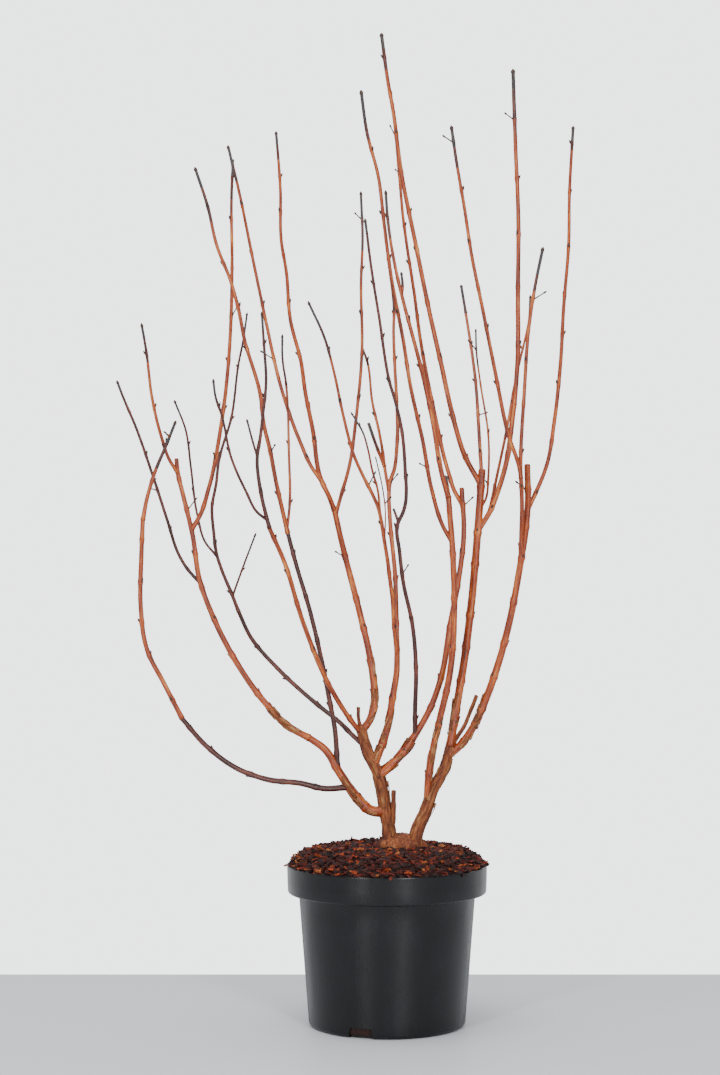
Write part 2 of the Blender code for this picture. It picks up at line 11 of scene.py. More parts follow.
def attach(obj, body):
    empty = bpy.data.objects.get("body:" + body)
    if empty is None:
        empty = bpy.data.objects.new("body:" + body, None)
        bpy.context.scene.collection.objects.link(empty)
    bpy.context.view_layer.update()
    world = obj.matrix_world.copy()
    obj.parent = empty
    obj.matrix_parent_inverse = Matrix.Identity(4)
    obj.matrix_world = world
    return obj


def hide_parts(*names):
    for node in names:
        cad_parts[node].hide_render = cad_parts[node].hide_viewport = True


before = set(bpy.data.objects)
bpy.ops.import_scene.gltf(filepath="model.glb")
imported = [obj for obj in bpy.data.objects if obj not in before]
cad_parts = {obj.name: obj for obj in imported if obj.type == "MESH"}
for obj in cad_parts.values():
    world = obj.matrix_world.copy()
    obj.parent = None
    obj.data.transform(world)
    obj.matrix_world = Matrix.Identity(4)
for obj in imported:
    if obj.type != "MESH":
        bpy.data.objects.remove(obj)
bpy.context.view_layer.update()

mm = 0.001
scene = bpy.context.scene

# Camera: the eye stands 2.12 m in front of the pot and 0.44 m above the floor.
eye = {"across": -26.5 * mm, "up": 440 * mm, "away": 2120 * mm, "lens": 72.25, "sensor": 36,
       "pitch": 0.97}

cameraData = bpy.data.cameras.new("camera")
cameraData.lens = eye["lens"]
cameraData.sensor_width = eye["sensor"]
camera = bpy.data.objects.new("camera", cameraData)
camera.location = (eye["across"], -eye["away"], eye["up"])
camera.rotation_euler = (math.radians(90 + eye["pitch"]), 0, 0)
scene.collection.objects.link(camera)
scene.camera = camera

# Limb tables, in millimetres as the eye sees them in the plane of the pot's axis: what each limb
# grows from, its thickness at the foot and the end, the depth of its end, and its places.
boughs = {
    "trunk_left": (None, 14.0, 10.6, 0, [
        (2, 165), (2, 186), (-2.5, 215), (-10, 247), (-19.5, 267), (-25.5, 289)]),
    "trunk_right": (None, 14.0, 9.4, 2, [
        (27, 165), (28, 183), (38, 208), (46, 230), (56, 249), (62, 271)]),
    "bough_left_low": ("trunk_left", 10.2, 6.8, -8, [
        (-3, 207), (-16, 208), (-28, 219), (-45.5, 243.5), (-62, 269), (-76, 279)]),
    "bough_left": ("bough_left_low", 6.6, 4.4, -24, [
        (-76, 279), (-95, 289), (-119.5, 313.5), (-146, 350.5), (-169, 394), (-184, 434),
        (-191, 478), (-200, 516), (-206, 542), (-207, 553)]),
    "cane_outer_low": ("bough_left_low", 6.0, 4.8, -34, [
        (-41, 229), (-60, 229.5), (-86, 235), (-115, 238), (-146.5, 249), (-177, 271),
        (-201, 298)]),
    "cane_outer": ("cane_outer_low", 4.8, 4.6, -53, [
        (-201, 298), (-217.5, 330), (-236, 367), (-242, 410), (-241.5, 454), (-240, 493)]),
    "bough_back_left": ("trunk_left", 4.8, 4.2, 56, [
        (-21, 269), (-34, 282), (-46.5, 294.5), (-66, 310), (-106, 346), (-135, 380),
        (-145.5, 402.5)]),
    "bough_tall_left": ("bough_left_low", 5.2, 4.2, -44, [
        (-47, 248), (-49.5, 267), (-50.5, 282), (-57, 319), (-76, 405), (-90, 452),
        (-97.5, 480)]),
    "bough_front_left": ("trunk_left", 5.2, 4.3, -96, [
        (-24, 282), (-34, 294.5), (-55, 327.5), (-81.5, 390), (-102.5, 456), (-115.5, 485)]),
    "bough_centre_left": ("trunk_left", 7.4, 5.8, 40, [
        (-24, 286), (-16, 298), (-12.5, 313), (-14.5, 344), (-27.5, 405), (-42, 461),
        (-51.5, 502)]),
    "bough_centre": ("trunk_left", 8.4, 5.8, -12, [
        (-14, 253), (-6, 270), (1.5, 293.5), (5, 316), (9.5, 344), (10, 365)]),
    "bough_centre_low": ("trunk_left", 9.0, 8.2, 6, [(-5, 243), (6, 254.5), (18, 268), (24, 277)]),
    "bough_centre_right": ("bough_centre_low", 6.6, 5.0, 20, [
        (24, 277), (30, 286), (43, 309.5), (52.5, 336), (62, 390), (71.5, 442), (75.5, 478),
        (73.5, 524)]),
    "bough_inner_right": ("trunk_right", 7.2, 5.7, -32, [
        (39.5, 212), (40, 233), (43.5, 260), (51.5, 296), (62, 344), (66, 400), (65, 454),
        (60.5, 515)]),
    "bough_right": ("trunk_right", 8.2, 7.4, 16, [
        (62, 271), (64.5, 287), (69, 314), (77, 363), (84, 422), (88.5, 473), (91.5, 513),
        (93.5, 542)]),
    "bough_right_outer": ("trunk_right", 7.8, 6.0, -34, [
        (60, 262), (71, 271), (86, 292.5), (99.5, 323.5), (112, 361), (122.5, 403), (131.5, 452),
        (136, 480), (138.5, 508), (138, 547)]),
    "stub_old": ("trunk_left", 6.0, 4.6, -9, [(3, 183), (6, 203), (6.5, 227)]),
    "stub_top": ("trunk_left", 3.2, 3.2, -4, [(-26, 285), (-28, 298), (-28, 309)]),
    "stub_dry": ("trunk_right", 4.2, 4.2, 14, [(66, 268), (77, 293.5), (87.5, 320.5)]),
}

# Masses of bare twigs. Each has one leading shoot, and the shoots that branch from it.
masses = {
    "twigs_outer_left": {
        "leader": ("cane_outer", 4.4, 2.9, -62, [
            (-240, 493), (-235.5, 516), (-229, 538), (-217, 567), (-209, 587)]),
        "side": ("leader", 2.2, 1.6, -66, [(-213.5, 575), (-217.5, 578.5)]),
    },
    "twigs_left": {
        "leader": ("bough_left", 4.6, 3.0, 60, [
            (-191, 484), (-184.5, 496), (-175, 525), (-163, 587), (-157, 636), (-153.5, 690),
            (-152.5, 739), (-153, 816), (-152, 841)]),
    },
    "twigs_left_stub": {
        "leader": ("bough_left", 3.6, 2.6, -85, [
            (-205, 539), (-215, 554.5), (-221, 572), (-231, 613), (-237, 660), (-241, 683)]),
    },
    "twigs_left_low": {
        "leader": ("bough_left", 3.4, 2.7, 42, [
            (-184, 430), (-196.5, 445.5), (-204.5, 459), (-215, 490), (-230, 536), (-246, 582),
            (-261.5, 619), (-264.5, 627)]),
    },
    "twigs_back_left": {
        "leader": ("bough_back_left", 4.0, 2.2, 160, [
            (-145.5, 402.5), (-152.5, 420.5), (-161, 440.5), (-167, 458), (-170.5, 483),
            (-172, 506), (-168, 528), (-165.5, 550), (-153, 594), (-145.5, 650), (-142, 667),
            (-138, 694)]),
        "second": ("leader", 2.6, 2.4, 132, [
            (-167, 457), (-179, 472), (-186, 496), (-193, 547), (-198, 582), (-208, 608)]),
        "thin": ("leader", 2.3, 2.0, 44, [(-151.5, 418.5), (-141, 448), (-130, 477)]),
    },
    "twigs_tall_left": {
        "leader": ("bough_tall_left", 4.6, 3.0, -127, [
            (-97.5, 480), (-109.5, 533), (-115, 562), (-121, 587), (-124.5, 616), (-140.5, 672),
            (-146, 700), (-153, 726), (-168, 765), (-176.5, 802), (-188, 837)]),
        "second": ("leader", 2.9, 2.3, -24, [
            (-98, 484), (-96, 503), (-96.5, 562), (-99, 625), (-103, 655), (-103, 672)]),
    },
    "twigs_front_left": {
        "leader": ("bough_front_left", 4.0, 2.4, -147, [
            (-115.5, 485), (-123.5, 518), (-127.5, 556), (-124.5, 575), (-122, 597), (-119, 626),
            (-121, 665), (-123, 694)]),
        "second": ("leader", 2.8, 2.3, -160, [
            (-118, 493), (-127, 500), (-138.5, 521), (-153, 554), (-162.5, 596), (-169, 616),
            (-170.5, 628)]),
        "third": ("leader", 2.3, 2.1, -98, [(-128, 555), (-132.5, 572), (-137, 589)]),
    },
    "twigs_centre_left": {
        "leader": ("bough_centre_left", 5.2, 3.0, 136, [
            (-51.5, 502), (-57.5, 517.5), (-64, 531), (-73, 582), (-81, 623), (-84, 646),
            (-95, 690), (-99, 737), (-104, 768), (-105, 820), (-109, 873)]),
        "second": ("leader", 4.2, 3.0, 84, [
            (-63.5, 530), (-74, 545), (-85, 569), (-102.5, 618), (-119, 688), (-125.5, 719),
            (-131, 745), (-136, 770), (-148.5, 829), (-156, 859)]),
    },
    "twigs_centre_back": {
        "leader": ("bough_centre_left", 4.0, 2.7, 6, [
            (-50.5, 498), (-46, 514), (-37.5, 544), (-30, 596), (-24.5, 662), (-25.5, 724),
            (-24, 773), (-25.5, 813)]),
    },
    "twigs_centre": {
        "leader": ("bough_centre", 5.2, 2.8, 31, [
            (10, 365), (9.5, 390), (8, 439), (3, 493), (2, 515), (3, 531), (7, 542), (9.5, 562),
            (10.5, 582), (9.5, 611), (7.5, 650), (6.5, 680), (7, 700), (2.5, 741)]),
        "second": ("leader", 3.6, 2.4, 40, [
            (2.5, 522), (-1.5, 540), (-4.5, 562), (-8, 581.5), (-14, 607), (-20.5, 653),
            (-24, 662)]),
        "stub": ("second", 3.4, 3.4, -8, [(-2.5, 546), (-10, 565), (-18, 588)]),
    },
    "twigs_front_centre": {
        "leader": ("bough_centre", 4.6, 2.4, -134, [
            (10, 360), (6.5, 395), (5.5, 414), (3, 434), (0.5, 454), (-2, 469), (-5, 488),
            (-8, 503), (-12, 513.5), (-21.5, 532.5), (-31, 553), (-43, 596), (-51.5, 636),
            (-62, 674), (-76, 705)]),
        "second": ("leader", 2.6, 1.8, -40, [
            (-6, 498), (-9, 522.5), (-14.5, 542), (-18.5, 562), (-24, 580), (-33.5, 596)]),
        "third": ("leader", 1.6, 1.3, -36, [(-2, 469), (-2, 508), (-5, 528), (-10.5, 552)]),
    },
    "twigs_dark_front": {
        "leader": ("bough_centre_right", 4.8, 2.5, -155, [
            (27.5, 283), (27.5, 304), (28.5, 344), (25, 390), (16, 432), (12.5, 461), (11, 491),
            (15, 498.5), (18, 508), (19, 522), (18, 542), (14.5, 582), (8, 610.5), (2, 631),
            (-1.5, 650), (-6.5, 685), (-15, 739), (-21, 786)]),
        "stub": ("leader", 2.6, 2.4, -62, [(11.5, 492), (6.5, 504)]),
    },
    "twigs_inner_right": {
        "leader": ("bough_inner_right", 5.2, 2.8, -82, [
            (60.5, 515), (55, 534), (44.5, 593), (33, 645), (24, 679), (16, 709), (6.5, 751),
            (0.5, 793), (-1, 814)]),
        "stub": ("leader", 4.2, 3.8, -24, [(60, 517), (59.5, 524), (57, 536)]),
        "side": ("leader", 3.2, 2.4, -58, [(14.5, 716), (15.5, 722), (14.5, 734)]),
    },
    "twigs_tall_front": {
        "leader": ("bough_inner_right", 4.4, 3.2, -157, [
            (62.5, 472), (56, 485), (44, 523), (35, 572), (23.5, 623), (16, 670), (4, 734),
            (-2.5, 783), (-8.5, 832), (-20, 877), (-25, 913)]),
    },
    "twigs_back_right": {
        "leader": ("bough_centre_right", 4.6, 2.8, 117, [
            (73.5, 508), (65.5, 523.5), (60.5, 540), (57, 552), (48, 593), (33.5, 667),
            (26.5, 719), (19, 768), (15.5, 795), (13.5, 818), (6, 902)]),
    },
    "twigs_tallest": {
        "leader": ("bough_right", 5.6, 3.8, 50, [
            (90, 527), (76, 557.5), (66, 590.5), (53.5, 646), (41, 702), (28.5, 764), (14, 837),
            (6, 898), (1, 926), (-5, 970)]),
    },
    "twigs_back": {
        "leader": ("bough_right", 4.0, 3.0, 170, [
            (92, 536), (91, 572), (86.5, 636), (79.5, 685), (73.5, 722)]),
    },
    "twigs_thin_right": {
        "leader": ("bough_right", 2.5, 2.0, 96, [
            (92, 503), (97, 513), (99.5, 534), (100, 572), (91.5, 631), (88, 660), (87.5, 678)]),
    },
    "twigs_right": {
        "leader": ("bough_right", 5.6, 3.9, -20, [
            (90, 483), (100.5, 500), (109, 521), (116.5, 546), (123.5, 593), (128.5, 648),
            (129, 719), (129.5, 793), (127, 857), (124.5, 934)]),
        "second": ("leader", 3.3, 2.2, 70, [
            (100.5, 500), (107, 531), (117, 578), (127, 633), (134, 663), (140, 692), (141, 711)]),
    },
    "twigs_front_right": {
        "leader": ("bough_right_outer", 4.6, 3.1, -136, [
            (131, 450), (132, 478), (132.5, 518), (130.5, 543), (120, 575), (106.5, 639),
            (93, 707), (83.5, 754), (76, 803), (68.5, 847), (64, 878)]),
        "second": ("leader", 4.0, 3.2, -66, [
            (131, 534), (131.5, 549), (135, 616), (139.5, 680), (146, 724), (153, 758)]),
    },
    "twigs_far_right": {
        "leader": ("bough_right_outer", 4.4, 3.2, 52, [
            (138, 503), (144.5, 516), (156.5, 545), (165, 593), (171, 650), (174, 702),
            (179, 764), (180, 818), (183.5, 878)]),
    },
}


# Materials


def toLinear(code):
    parts = [int(code[i:i + 2], 16) / 255 for i in (1, 3, 5)]
    return [c / 12.92 if c <= 0.04045 else ((c + 0.055) / 1.055) ** 2.4 for c in parts] + [1.0]


def addNode(tree, kind, inputs=None, **settings):
    # one node with its settings, and each input as a value or as the socket that feeds it
    node = tree.nodes.new(kind)
    for key, value in settings.items():
        setattr(node, key, value)
    for key, value in (inputs or {}).items():
        if isinstance(value, bpy.types.NodeSocket):
            tree.links.new(value, node.inputs[key])
        else:
            node.inputs[key].default_value = value
    return node


def colourStops(ramp, stops):
    elements = ramp.color_ramp.elements
    while len(elements) < len(stops):
        elements.new(0.5)
    for element, (place, code) in zip(elements, stops):
        element.position = place
        element.color = toLinear(code)


def startMaterial(name, roughness):
    made = bpy.data.materials.new(name)
    made.use_nodes = True
    tree = made.node_tree
    shader = tree.nodes["Principled BSDF"]
    shader.inputs["Roughness"].default_value = roughness
    return made, tree, shader


def grainSpace(tree, source, across, along):
    # pattern space where one unit is one grain: across and along are the grain's size in mm
    scale = (1000 / across, 1000 / across, 1000 / along)
    return addNode(tree, "ShaderNodeMapping", {"Vector": source, "Scale": scale})


# In every bark: how much the blotches tint the streaks, and where a pore fades out
barkFace = {"blotchShare": 0.45, "poreRim": (0.1, 0.2)}
reliefDeep = 0.3 * mm  # the relief's depth on bark, buds and chips


def barkMaterial(name, look):
    # bark with lengthwise streaks, larger blotches and small pale pores, which follow the stem
    made, tree, shader = startMaterial(name, look["roughness"])
    place = addNode(tree, "ShaderNodeAttribute", attribute_name="barkPlace").outputs["Vector"]
    fine = grainSpace(tree, place, look["streakAcross"], look["streakAlong"])
    wide = grainSpace(tree, place, look["blotchAcross"], look["blotchAlong"])
    pore = grainSpace(tree, place, look["poreAcross"], look["poreAlong"])
    streaks = addNode(tree, "ShaderNodeTexNoise", {
        "Vector": fine.outputs[0], "Scale": 1.0, "Detail": 4.0})
    blotches = addNode(tree, "ShaderNodeTexNoise", {
        "Vector": wide.outputs[0], "Scale": 1.0, "Detail": 2.0})
    pores = addNode(tree, "ShaderNodeTexVoronoi", {"Vector": pore.outputs[0], "Scale": 1.0})
    both = addNode(tree, "ShaderNodeMix", {
        "Factor": barkFace["blotchShare"], "A": streaks.outputs["Fac"], "B": blotches.outputs["Fac"]})
    ramp = addNode(tree, "ShaderNodeValToRGB", {"Fac": both.outputs[0]})
    colourStops(ramp, look["colours"])
    spots = addNode(tree, "ShaderNodeMapRange", {
        "Value": pores.outputs["Distance"], "From Min": barkFace["poreRim"][0],
        "From Max": barkFace["poreRim"][1], "To Min": look["poreShare"], "To Max": 0.0})
    tint = addNode(tree, "ShaderNodeMix", {
        "Factor": spots.outputs[0], "A": ramp.outputs[0], "B": toLinear(look["poreColour"])},
        data_type="RGBA")
    tree.links.new(tint.outputs[2], shader.inputs["Base Color"])
    height = addNode(tree, "ShaderNodeMath", {
        0: streaks.outputs["Fac"], 1: spots.outputs[0]}, operation="ADD")
    bump = addNode(tree, "ShaderNodeBump", {
        "Height": height.outputs[0], "Strength": look["bump"], "Distance": reliefDeep})
    tree.links.new(bump.outputs[0], shader.inputs["Normal"])
    return made


def plainMaterial(name, look):
    # a small rough thing: two tones of one colour mixed by a fine noise
    made, tree, shader = startMaterial(name, look["roughness"])
    space = addNode(tree, "ShaderNodeTexCoord").outputs["Object"]
    grain = grainSpace(tree, space, look["grain"], look["grain"])
    speckle = addNode(tree, "ShaderNodeTexNoise", {
        "Vector": grain.outputs[0], "Scale": 1.0, "Detail": 3.0})
    ramp = addNode(tree, "ShaderNodeValToRGB", {"Fac": speckle.outputs["Fac"]})
    colourStops(ramp, look["colours"])
    tree.links.new(ramp.outputs[0], shader.inputs["Base Color"])
    bump = addNode(tree, "ShaderNodeBump", {
        "Height": speckle.outputs["Fac"], "Strength": look["bump"], "Distance": reliefDeep})
    tree.links.new(bump.outputs[0], shader.inputs["Normal"])
    return made


# Young ninebark bark, smooth and satin, so its streaks show more than its relief
youngBark = barkMaterial("youngNinebarkBark", {
    "colours": [(0.3, "#3A0F03"), (0.43, "#782A08"), (0.55, "#A34510"), (0.68, "#D0843A")],
    "streakAcross": 1.1, "streakAlong": 16, "blotchAcross": 7, "blotchAlong": 30,
    "poreAcross": 2.4, "poreAlong": 4.5, "poreShare": 0.3, "poreColour": "#C98F58",
    "roughness": 0.45, "bump": 0.25})

# Painted shade: a darker red-brown copy of the young bark with the same satin face, for stems in the shade
# of the crown. It also colours the darker stretch below each dried shoot tip.
darkBark = barkMaterial("darkNinebarkBark", {
    "colours": [(0.3, "#1C0A08"), (0.45, "#3A160F"), (0.56, "#562217"), (0.68, "#7A3B26")],
    "streakAcross": 1.1, "streakAlong": 14, "blotchAcross": 7, "blotchAlong": 30,
    "poreAcross": 2.4, "poreAlong": 4.5, "poreShare": 0.2, "poreColour": "#9A6A50",
    "roughness": 0.42, "bump": 0.25})

# Winter-dried shoot tips, blackish grey
tipBark = barkMaterial("driedShootTip", {
    "colours": [(0.3, "#1E1A1A"), (0.5, "#3A3432"), (0.7, "#5C4E48")],
    "streakAcross": 1.0, "streakAlong": 8, "blotchAcross": 4, "blotchAlong": 12,
    "poreAcross": 2.4, "poreAlong": 4.5, "poreShare": 0.2, "poreColour": "#7B6A60",
    "roughness": 0.6, "bump": 0.4})

# Old ninebark bark, which peels in papery strips and is matt
oldBark = barkMaterial("peelingNinebarkBark", {
    "colours": [(0.3, "#2A1008"), (0.44, "#602B13"), (0.56, "#8A4A22"), (0.7, "#BC854F")],
    "streakAcross": 1.6, "streakAlong": 12, "blotchAcross": 8, "blotchAlong": 26,
    "poreAcross": 3.4, "poreAlong": 8, "poreShare": 0.25, "poreColour": "#5A2F1B",
    "roughness": 0.8, "bump": 0.9})

# Papery strips of loose bark, tan outside
looseBark = barkMaterial("looseBarkStrip", {
    "colours": [(0.3, "#35180B"), (0.5, "#7C4522"), (0.7, "#BE8A58")],
    "streakAcross": 1.2, "streakAlong": 10, "blotchAcross": 6, "blotchAlong": 14,
    "poreAcross": 3.4, "poreAlong": 8, "poreShare": 0.1, "poreColour": "#3A1B10",
    "roughness": 0.85, "bump": 0.6})

# Scales of winter buds, dark and slightly waxy
budScale = plainMaterial("budScales", {
    "colours": [(0.35, "#1F1210"), (0.65, "#4A2A1E")], "grain": 0.8, "roughness": 0.5, "bump": 0.4})

# Composted bark chips, damp and matt, in five tones that are dealt out chip by chip
chipTones = [
    plainMaterial("barkChip%d" % (i + 1), {
        "colours": [(0.32, low), (0.68, high)], "grain": 1.4, "roughness": 0.85, "bump": 0.8})
    for i, (low, high) in enumerate([
        ("#0E0100", "#260501"), ("#200400", "#450C02"), ("#380B01", "#6E1C03"),
        ("#5E1802", "#A53E05"), ("#6A2C0A", "#B0642A")])]

# Potting mix under the chips, nearly black when damp
pottingMix = plainMaterial("dampPottingMix", {
    "colours": [(0.35, "#120806"), (0.65, "#33150D")], "grain": 2.2, "roughness": 0.95, "bump": 1.0})


# Injection-moulded black polypropylene: semi-gloss, with the faint orange peel of its mould, upright
# flow marks and a little dust. The patterns' sizes are in mm, across and along the pot's wall.
plastic = {"ior": 1.49, "specular": 0.38, "roughness": 0.25, "glossy": 0.19, "dull": 0.3,
           "peel": (1.6, 1.6), "flow": (5, 90), "dust": (22, 30), "bump": 0.12, "deep": 0.4 * mm,
           "colours": [(0.4, "#030406"), (0.6, "#06080B"), (0.75, "#0E1216")]}


def plasticMaterial():
    made, tree, shader = startMaterial("mouldedPolypropylene", plastic["roughness"])
    shader.inputs["Specular IOR Level"].default_value = plastic["specular"]
    shader.inputs["IOR"].default_value = plastic["ior"]
    space = addNode(tree, "ShaderNodeTexCoord").outputs["Object"]
    peel = addNode(tree, "ShaderNodeTexNoise", {
        "Vector": grainSpace(tree, space, *plastic["peel"]).outputs[0], "Scale": 1.0, "Detail": 2.0})
    flow = addNode(tree, "ShaderNodeTexNoise", {
        "Vector": grainSpace(tree, space, *plastic["flow"]).outputs[0], "Scale": 1.0, "Detail": 3.0})
    dust = addNode(tree, "ShaderNodeTexNoise", {
        "Vector": grainSpace(tree, space, *plastic["dust"]).outputs[0], "Scale": 1.0, "Detail": 5.0})
    tone = addNode(tree, "ShaderNodeValToRGB", {"Fac": dust.outputs["Fac"]})
    colourStops(tone, plastic["colours"])
    tree.links.new(tone.outputs[0], shader.inputs["Base Color"])
    rough = addNode(tree, "ShaderNodeMapRange", {
        "Value": flow.outputs["Fac"], "From Min": 0.3, "From Max": 0.7,
        "To Min": plastic["glossy"], "To Max": plastic["dull"]})
    tree.links.new(rough.outputs[0], shader.inputs["Roughness"])
    height = addNode(tree, "ShaderNodeMath", {
        0: peel.outputs["Fac"], 1: flow.outputs["Fac"]}, operation="ADD")
    bump = addNode(tree, "ShaderNodeBump", {
        "Height": height.outputs[0], "Strength": plastic["bump"], "Distance": plastic["deep"]})
    tree.links.new(bump.outputs[0], shader.inputs["Normal"])
    return made


blackPlastic = plasticMaterial()
print("materials made")

# Pieces

anyTurn = (0, 6.28)  # a random turn about a stem or a chip, in radians
weldWithin = 0.005 * mm


def addPiece(name, bm, materials, nodes):
    # the finished bmesh as a piece that stands for its CAD nodes
    mesh = bpy.data.meshes.new(name)
    bm.to_mesh(mesh)
    bm.free()
    for paint in materials:
        mesh.materials.append(paint)
    mesh.shade_smooth()
    piece = bpy.data.objects.new(name, mesh)
    scene.collection.objects.link(piece)
    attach(piece, "root")
    if nodes:
        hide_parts(*nodes)
    return piece


def spinProfile(bm, profile, steps):
    # a profile of radius and height in metres, turned about the upright axis
    verts = [bm.verts.new((radius, 0, up)) for radius, up in profile]
    edges = [bm.edges.new(pair) for pair in zip(verts, verts[1:])]
    bmesh.ops.spin(bm, geom=verts + edges, cent=(0, 0, 0), axis=(0, 0, 1), angle=2 * math.pi,
                   steps=steps, use_merge=True)
    bmesh.ops.remove_doubles(bm, verts=bm.verts, dist=weldWithin)
    bmesh.ops.recalc_face_normals(bm, faces=bm.faces)


# The pot: its CAD sizes in mm, and the fine upright ribs of its mould. A rounded corner is a row of
# steps outwards and upwards from the lip, from the band's lower edge or from the body's top, and the
# foot's corner is in shares of its radius.
pot = {"high": 156, "wall": 1.8, "lip": 98.1, "bandHigh": 27.5, "bandDraft": 0.8, "body": 86.3,
       "foot": 76.8, "footRound": 4.0, "steps": 360, "ribDeep": 0.22, "wallRows": 9, "shoulder": 2,
       "lipEdge": [(-1.3, 0), (-0.5, -0.1), (-0.1, -0.4), (0, -1.0), (-0.15, -2.5), (-0.4, -14)],
       "bandEdge": [(0, 2.5), (-0.4, 1.2), (-1.2, 0.5), (-2.2, 0.1), (-3.2, 0)],
       "neckEdge": [(1.2, -0.4), (0.3, -1.0), (0, -2.0)],
       "footEdge": [(0, 1), (-0.1, 0.62), (-0.35, 0.28), (-0.62, 0.08), (-1, 0)],
       "innerRim": [(0, -1.0), (0.25, -0.2)], "baseRound": 0.6, "neckDrop": 0.4,
       "sharpFrom": 38, "notches": 3, "notchWide": 29, "notchHigh": 10, "notchDeep": 7,
       "notchTurn": -110, "notchNarrow": 0.72}


def potProfile():
    # down the outer side from the lip, across the base and up the inner side, in mm
    lip, high, wall = pot["lip"], pot["high"], pot["wall"]
    body, foot, curve = pot["body"], pot["foot"], pot["footRound"]
    bandFoot = high - pot["bandHigh"]
    band = lip - pot["bandDraft"]
    outer = [(lip + out, high + up) for out, up in pot["lipEdge"]]
    outer += [(band + out, bandFoot + up) for out, up in pot["bandEdge"]]
    outer += [(body + out, bandFoot + up) for out, up in pot["neckEdge"]]
    top = bandFoot - pot["shoulder"]
    for k in range(1, pot["wallRows"]):  # the ribbed side wall
        share = k / pot["wallRows"]
        outer.append((body + (foot - body) * share, top + (curve - top) * share))
    outer += [(foot + curve * out, curve * up) for out, up in pot["footEdge"]]
    bandRound, bandStep = pot["bandEdge"][0][1], pot["bandEdge"][-1][0]
    inner = [(0.0, 0.0), (0.0, wall), (foot - curve, wall), (foot - wall, curve + pot["baseRound"]),
             (body - wall, top), (body, bandFoot + wall - pot["neckDrop"]),
             (band + bandStep, bandFoot + wall), (band - wall, bandFoot + bandRound)]
    inner += [(lip - wall + out, high + up) for out, up in pot["innerRim"]]
    return [(radius * mm, up * mm) for radius, up in outer + inner]


def makePot():
    body, foot, curve = pot["body"], pot["foot"], pot["footRound"]
    bandFoot = pot["high"] - pot["bandHigh"]
    profile = potProfile()
    bm = bmesh.new()
    spinProfile(bm, profile + profile[:1], pot["steps"])
    ribsFrom, ribsTo = curve * 0.9, bandFoot - 1.5  # just outside the side wall's two ends
    for vert in bm.verts:  # every second line of the side wall stands a little back
        radius = math.hypot(vert.co.x, vert.co.y) / mm
        up = vert.co.z / mm
        face = foot + (body - foot) * up / bandFoot
        if ribsFrom < up < ribsTo and radius > face - pot["wall"] / 2:
            turn = round(math.atan2(vert.co.y, vert.co.x) / (2 * math.pi) * pot["steps"])
            if turn % 2:
                shrink = 1 - pot["ribDeep"] / radius
                vert.co.x *= shrink
                vert.co.y *= shrink
    piece = addPiece("potShell", bm, [blackPlastic], ["pot"])
    cutters = []
    for k in range(pot["notches"]):
        turn = math.radians(pot["notchTurn"] + k * 360 / pot["notches"])
        block = bmesh.new()
        bmesh.ops.create_cube(block, size=1.0)
        for vert in block.verts:
            narrow = pot["notchNarrow"] if vert.co.z > 0 else 1.0
            vert.co = Vector((vert.co.x * 2 * pot["notchDeep"], vert.co.y * pot["notchWide"] * narrow,
                              vert.co.z * 2 * pot["notchHigh"])) * mm
        place = Matrix.Rotation(turn, 4, "Z") @ Matrix.Translation((foot * mm, 0, 0))
        bmesh.ops.transform(block, matrix=place, verts=block.verts)
        mesh = bpy.data.meshes.new("notch")
        block.to_mesh(mesh)
        block.free()
        cutter = bpy.data.objects.new("notch", mesh)
        scene.collection.objects.link(cutter)
        cut = piece.modifiers.new("notch", "BOOLEAN")
        cut.operation = "DIFFERENCE"
        cut.object = cutter
        cutters.append(cutter)
    graph = bpy.context.evaluated_depsgraph_get()
    cutMesh = bpy.data.meshes.new_from_object(piece.evaluated_get(graph))
    piece.modifiers.clear()
    piece.data = cutMesh
    for cutter in cutters:
        bpy.data.objects.remove(cutter, do_unlink=True)
    cutMesh.shade_smooth()
    cutMesh.set_sharp_from_angle(angle=math.radians(pot["sharpFrom"]))


makePot()
print("pot made")

# The mulch: a mound that fills the pot to its lip, under a loose layer of chips, in mm. Its profile
# follows the mound at the radii of rings, and goes down inside the pot's wall.
mulch = {"up": 170.5, "flat": 40, "edgeUp": 153.5, "power": 4, "edge": 95.9, "steps": 96,
         "rings": (20, 40, 55, 65, 74, 81, 87, 91, 94, 95.9),
         "inside": [(95.0, 140), (85.6, 126), (84.0, 122), (74.5, 6), (72.5, 2.2), (0.0, 2.2)],
         "lumps": 1.1, "lumpScale": 180, "lumpsTo": 94}

# The chips: how many, their sizes, how far out they lie, how they lift and lean, how much narrower
# one end is, how far a corner strays as a share of the size, and the share of draws up to each tone
chip = {"count": 3000, "size": [(4.5, 13), (2.2, 5.5), (0.7, 2.2)], "spread": 94.5,
        "lift": (-0.4, 1.5), "rimFrom": 91, "rimLift": 0.4, "tilt": 16, "taper": (0.35, 1.0),
        "stray": (0.16, 0.18, 0.2), "tones": (0.3, 0.62, 0.85, 0.95, 1.0), "seed": 5}


def moundUp(radius):
    share = max(0.0, (radius - mulch["flat"]) / (mulch["edge"] - mulch["flat"]))
    return mulch["up"] - (mulch["up"] - mulch["edgeUp"]) * min(1.0, share) ** mulch["power"]


def makeMulchBed():
    bm = bmesh.new()
    profile = [(0.0, mulch["up"])]
    profile += [(radius, moundUp(radius)) for radius in mulch["rings"]]
    profile += mulch["inside"]
    spinProfile(bm, [(radius * mm, up * mm) for radius, up in profile], mulch["steps"])
    for vert in bm.verts:
        radius = math.hypot(vert.co.x, vert.co.y)
        if vert.co.z > mulch["edgeUp"] * mm and radius < mulch["lumpsTo"] * mm:
            vert.co.z += noise.noise(vert.co * mulch["lumpScale"]) * mulch["lumps"] * mm
    addPiece("mulchBed", bm, [pottingMix], ["mulch"])


